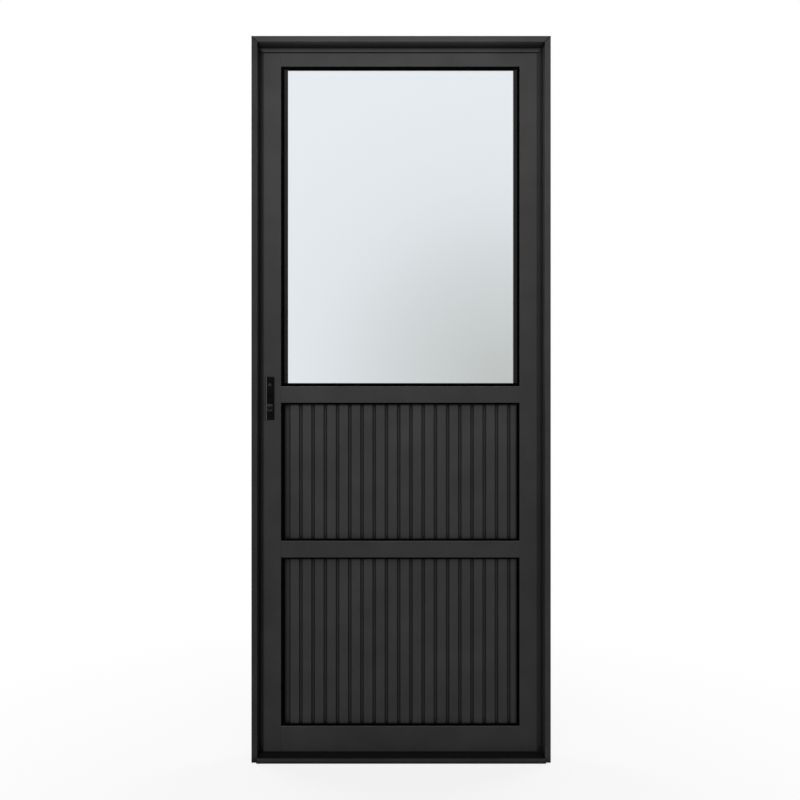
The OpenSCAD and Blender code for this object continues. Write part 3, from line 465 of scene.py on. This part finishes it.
# The left jamb's coat is the frame coat at a lower level, with deeper recess shade: painted shade, since
# that jamb takes less light.
left_jamb_shaded_coat = powder_coat(
    "left_jamb_shaded_powder_coat", level=0.033, edge_radius=0.0008, reach=0.026, shade=0.12, start=0.55)
leaf_coat = powder_coat(
    "leaf_powder_coat", level=0.047, edge_radius=0.0007, reach=0.005, shade=0.3, top_light_gain=2.2)
bead_coat = powder_coat(
    "bead_powder_coat", level=0.017, edge_radius=0.0005, reach=0.008, shade=0.4)
sill_coat = powder_coat(
    "sill_powder_coat", level=0.04, edge_radius=0.0008, reach=0.012, shade=0.3, top_light_gain=0.4)
slat_coat = powder_coat(
    "slat_powder_coat", level=0.052, edge_radius=0.0006, reach=0.03, shade=0.22)
rubber = gasket_rubber_and_gap_shade("gasket_rubber_and_gap_shade")
plate_plastic = moulded_plastic(
    "plate_plastic", level=0.005, rough=0.36, edge_radius=0.0005, marks=plate_highlight_and_arrow_marks())
slider_plastic = moulded_plastic(
    "slider_plastic", level=0.012, rough=0.4, edge_radius=0.0004, marks=slider_highlight_marks())
cap_nylon = moulded_plastic("cap_nylon", level=0.012, rough=0.5, edge_radius=0.0004)
hinge_paint = satin_paint("hinge_paint", level=0.02)
cleat_metal = bare_metal("cleat_metal", level=0.6, rough=0.4, brush=(0.05, 1.0, 1.0))
plated_steel = bare_metal("plated_steel", level=0.3, rough=0.38, brush=(1.0, 1.0, 0.06))
clear_glass = float_glass("float_glass")

FINISHES = {
    "jamb": frame_coat,
    "left_jamb": left_jamb_shaded_coat,
    "head": head_coat,
    "sill": sill_coat,
    "stile": leaf_coat,
    "rail": leaf_coat,
    "bead": bead_coat,
    "plank": slat_coat,
    "strip": slat_coat,
    "seal": rubber,
    "gasket": rubber,
    "lock_plate": plate_plastic,
    "thumb_slider": slider_plastic,
    "caps": cap_nylon,
    "blocks": cap_nylon,
    "hinge": hinge_paint,
    "cleats": cleat_metal,
    "screws": plated_steel,
    "strike": plated_steel,
    "case": plated_steel,
    "faceplate": plated_steel,
    "crank": plated_steel,
    "bolt": plated_steel,
    "glass_pane": clear_glass,
}


def finish_of(node):
    """The finish whose key is in the node's name.
    Of several keys the one that ends last wins, and then the longest."""
    keys = [key for key in FINISHES if key in node]
    return FINISHES[max(keys, key=lambda key: (node.rfind(key) + len(key), len(key)))]


for name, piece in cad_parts.items():
    piece.data.materials.clear()
    piece.data.materials.append(finish_of(name))


# Sealant

def grid_mesh(name, points, closed=False):
    """A mesh of quads through a grid of points: an array of rows, columns and three coordinates.
    Where it is closed, the last row joins the first."""
    rows, columns, _ = points.shape
    index = np.arange(rows * columns).reshape(rows, columns)
    if closed:
        index = np.concatenate([index, index[:1]])
    corners = (index[:-1, :-1], index[:-1, 1:], index[1:, 1:], index[1:, :-1])
    faces = np.stack(corners, axis=-1).reshape(-1, 4)
    mesh = bpy.data.meshes.new(name)
    mesh.from_pydata(points.reshape(-1, 3), [], faces.tolist())
    piece = bpy.data.objects.new(name, mesh)
    bpy.context.scene.collection.objects.link(piece)
    return piece


def dress(piece, body, finish):
    """Gives a new piece its finish and its body."""
    piece.data.materials.append(finish)
    piece.data.polygons.foreach_set("use_smooth", np.ones(len(piece.data.polygons), dtype=bool))
    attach(piece, body)


def mitre_line(side):
    """A thin black bead in the mitre of a head corner, on the face of the flange. Side is -1 or 1.
    The path runs from the outer corner to the reveal, as far down as inward.
    It falls back over each rounded edge by the radius less the height of a quarter circle.
    Each section is half an ellipse, as wide as the joint and a little proud of the face.
    The sections run the other way round on the left, so that the faces point outwards."""
    inward = np.linspace(MITRE_START, FLANGE_W - MITRE_START, MITRE_STEPS)
    outer = np.clip(FLANGE_R - inward, 0.0, FLANGE_R)
    inner = np.clip(inward - FLANGE_W + REVEAL_EDGE_R, 0.0, REVEAL_EDGE_R)
    outer_fall = FLANGE_R - np.sqrt(FLANGE_R**2 - outer**2)
    inner_fall = REVEAL_EDGE_R - np.sqrt(REVEAL_EDGE_R**2 - inner**2)
    turn = np.linspace(0.0, math.pi, MITRE_SECTION_STEPS)
    reach = np.cos(turn) * MITRE_W / 2.0 / math.sqrt(2.0)
    x = side * (cad_high[0] - inward[:, None] + reach)
    y = cad_low[1] + (outer_fall + inner_fall)[:, None] - MITRE_PROUD * np.sin(turn)
    z = cad_high[2] - inward[:, None] - reach
    points = np.stack([x, y, z], axis=-1)
    piece = grid_mesh("mitre_line_" + ("left" if side < 0 else "right"), points[:, ::side])
    dress(piece, "frame", rubber)


def rear_sealant():
    """A black fillet that seals the back of the glass to the fins of the leaf, all the way round.
    The path is a rectangle with a quarter circle at each corner, drawn in by the distance from the fin.
    The section falls from the fin to the glass by a power of the share of the width that is left."""
    low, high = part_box("glass_pane")
    middle = (low + high) / 2.0
    half = np.array([high[0] - middle[0] - FIN_LAP_X, high[2] - middle[2] - FIN_LAP_Z])
    quarters = np.arange(4)[:, None] * math.pi / 2.0
    turns = (quarters + np.linspace(0.0, math.pi / 2.0, CORNER_STEPS)).ravel()
    # Sides of the corners across and up, in the order of the quarters: top right first, then to the left
    signs = np.repeat([[1.0, -1.0, -1.0, 1.0], [1.0, 1.0, -1.0, -1.0]], CORNER_STEPS, axis=1)
    run = np.linspace(0.0, 1.0, SEALANT_STEPS)
    centres = signs * (half - CORNER_R)[:, None]
    ring = np.stack([np.cos(turns), np.sin(turns)])
    x, z = centres[:, :, None] + ring[:, :, None] * (CORNER_R - SEALANT_W * run)
    y = high[1] + SEALANT_H * (1.0 - run) ** SEALANT_CURVE
    points = np.stack([middle[0] + x, np.broadcast_to(y, x.shape), middle[2] + z], axis=-1)
    piece = grid_mesh("rear_sealant", points, closed=True)
    dress(piece, "leaf", rubber)


for side in (-1, 1):
    mitre_line(side)
rear_sealant()


# Studio

def seen_ray(tree):
    """1 for rays from the camera, in reflections and through glass, and 0 for the rest."""
    rays = new_node(tree, "LightPath", {}).outputs
    seen = combined(tree, "MAXIMUM", rays["Is Camera Ray"], rays["Is Glossy Ray"])
    return combined(tree, "MAXIMUM", seen, rays["Is Transmission Ray"])


def white_floor():
    """A flat square just under the sill, of pale paint that takes the door's shadow.
    Where it is seen it is mostly white near the door and all white further off."""
    sides = np.array([-FLOOR_SIZE, FLOOR_SIZE]) / 2.0
    x, y = np.meshgrid(sides, sides)
    points = np.stack([x, y, np.full_like(x, cad_low[2] - FLOOR_GAP)], axis=-1)
    floor = grid_mesh("floor", points)
    material, tree, shader, place = new_finish("floor_paint")
    wire(tree, shader, {"Base Color": FLOOR_PAINT, "Roughness": FLOOR_ROUGH, "Specular IOR Level": 0.0})
    glow = new_node(tree, "Emission", {"Color": WHITE})
    distance = new_node(tree, "VectorMath", {0: place}, operation="LENGTH").outputs["Value"]
    white = between(tree, distance, FLOOR_WHITE_SHARES, FLOOR_WHITE_RUN)
    share = combined(tree, "MULTIPLY", white, seen_ray(tree))
    surface = mixed(tree, share, shader.outputs["BSDF"], glow.outputs["Emission"])
    wire(tree, tree.nodes["Material Output"], {"Surface": surface})
    floor.data.materials.append(material)


def studio_world():
    """White to the camera, in reflections and through glass, and a plain fill light for matt surfaces."""
    world = bpy.data.worlds.new("studio")
    bpy.context.scene.world = world
    world.use_nodes = True
    tree = world.node_tree
    fill = tree.nodes["Background"]
    wire(tree, fill, {"Color": WHITE, "Strength": FILL_LIGHT})
    white = new_node(tree, "Background", {"Color": WHITE})
    surface = mixed(tree, seen_ray(tree), fill.outputs["Background"], white.outputs["Background"])
    wire(tree, tree.nodes["World Output"], {"Surface": surface})


def soft_lamp(name, place, aim, size, watts):
    """A rectangular lamp at a place, turned towards a point. It gives light and isn't seen itself."""
    lamp = bpy.data.lights.new(name, "AREA")
    lamp.shape = "RECTANGLE"
    lamp.size, lamp.size_y = size
    lamp.energy = watts
    holder = bpy.data.objects.new(name, lamp)
    way = np.array(aim) - np.array(place)
    pitch = math.atan2(math.hypot(way[0], way[1]), -way[2])
    holder.location = place
    holder.rotation_euler = (pitch, 0.0, math.atan2(-way[0], way[1]))
    holder.visible_camera = False
    holder.visible_glossy = False
    holder.visible_transmission = False
    bpy.context.scene.collection.objects.link(holder)


def studio_lamps():
    """The key lamp, the front lamp, and the rear lamps to the left and the right."""
    soft_lamp("key_lamp", KEY_PLACE, KEY_AIM, KEY_SIZE, KEY_WATTS)
    soft_lamp("front_lamp", FRONT_PLACE, FRONT_AIM, FRONT_SIZE, FRONT_WATTS)
    for side in (-1, 1):
        place = (side * REAR_PLACE[0], *REAR_PLACE[1:])
        soft_lamp("rear_lamp", place, REAR_AIM, REAR_SIZE, REAR_WATTS)


def painted_glass_shade_backdrop():
    """A flat upright panel behind the door that glows white but for one soft grey shade low on its right.
    Only light that comes through the glass shows it, so it paints a slow run of tone into the pane:
    painted shade, darker low on the right."""
    x, z = np.meshgrid(np.array(BACKDROP_X), np.array(BACKDROP_Z))
    backdrop = grid_mesh("backdrop", np.stack([x, np.full_like(x, BACKDROP_Y), z], axis=-1))
    material, tree, _, place = new_finish("backdrop_glow")
    away = new_node(tree, "VectorMath", {0: place, 1: SHADE_PLACE}, operation="DISTANCE").outputs["Value"]
    share = between(tree, away, (0.0, 1.0), (0.0, SHADE_REACH))
    glow = new_node(tree, "Emission", {"Color": colour_run(tree, share, SHADE_TONES, curve="B_SPLINE")})
    wire(tree, tree.nodes["Material Output"], {"Surface": glow.outputs["Emission"]})
    backdrop.data.materials.append(material)
    backdrop.visible_camera = False
    backdrop.visible_diffuse = False
    backdrop.visible_glossy = False
    backdrop.visible_shadow = False


def photo_camera():
    """Square on to the door, with the lens shifted so that the frame falls where the photograph has it."""
    view_w = PICTURE_PX * METRES_PER_PX
    middle = (cad_low + cad_high) / 2.0
    picture_x = middle[0] + (PICTURE_PX / 2.0 - DOOR_MIDDLE_PX[0]) * METRES_PER_PX
    picture_z = middle[2] - (PICTURE_PX / 2.0 - DOOR_MIDDLE_PX[1]) * METRES_PER_PX
    camera = bpy.data.cameras.new("camera")
    camera.sensor_width = SENSOR_MM
    camera.lens = SENSOR_MM * EYE_DISTANCE / view_w
    camera.shift_x = (picture_x - EYE_X) / view_w
    camera.shift_y = (picture_z - EYE_Z) / view_w
    holder = bpy.data.objects.new("camera", camera)
    holder.location = (EYE_X, cad_low[1] - EYE_DISTANCE, EYE_Z)
    holder.rotation_euler = (math.pi / 2.0, 0.0, 0.0)
    bpy.context.scene.collection.objects.link(holder)
    bpy.context.scene.camera = holder


white_floor()
studio_world()
studio_lamps()
painted_glass_shade_backdrop()
photo_camera()
bpy.context.scene.view_settings.view_transform = "Standard"
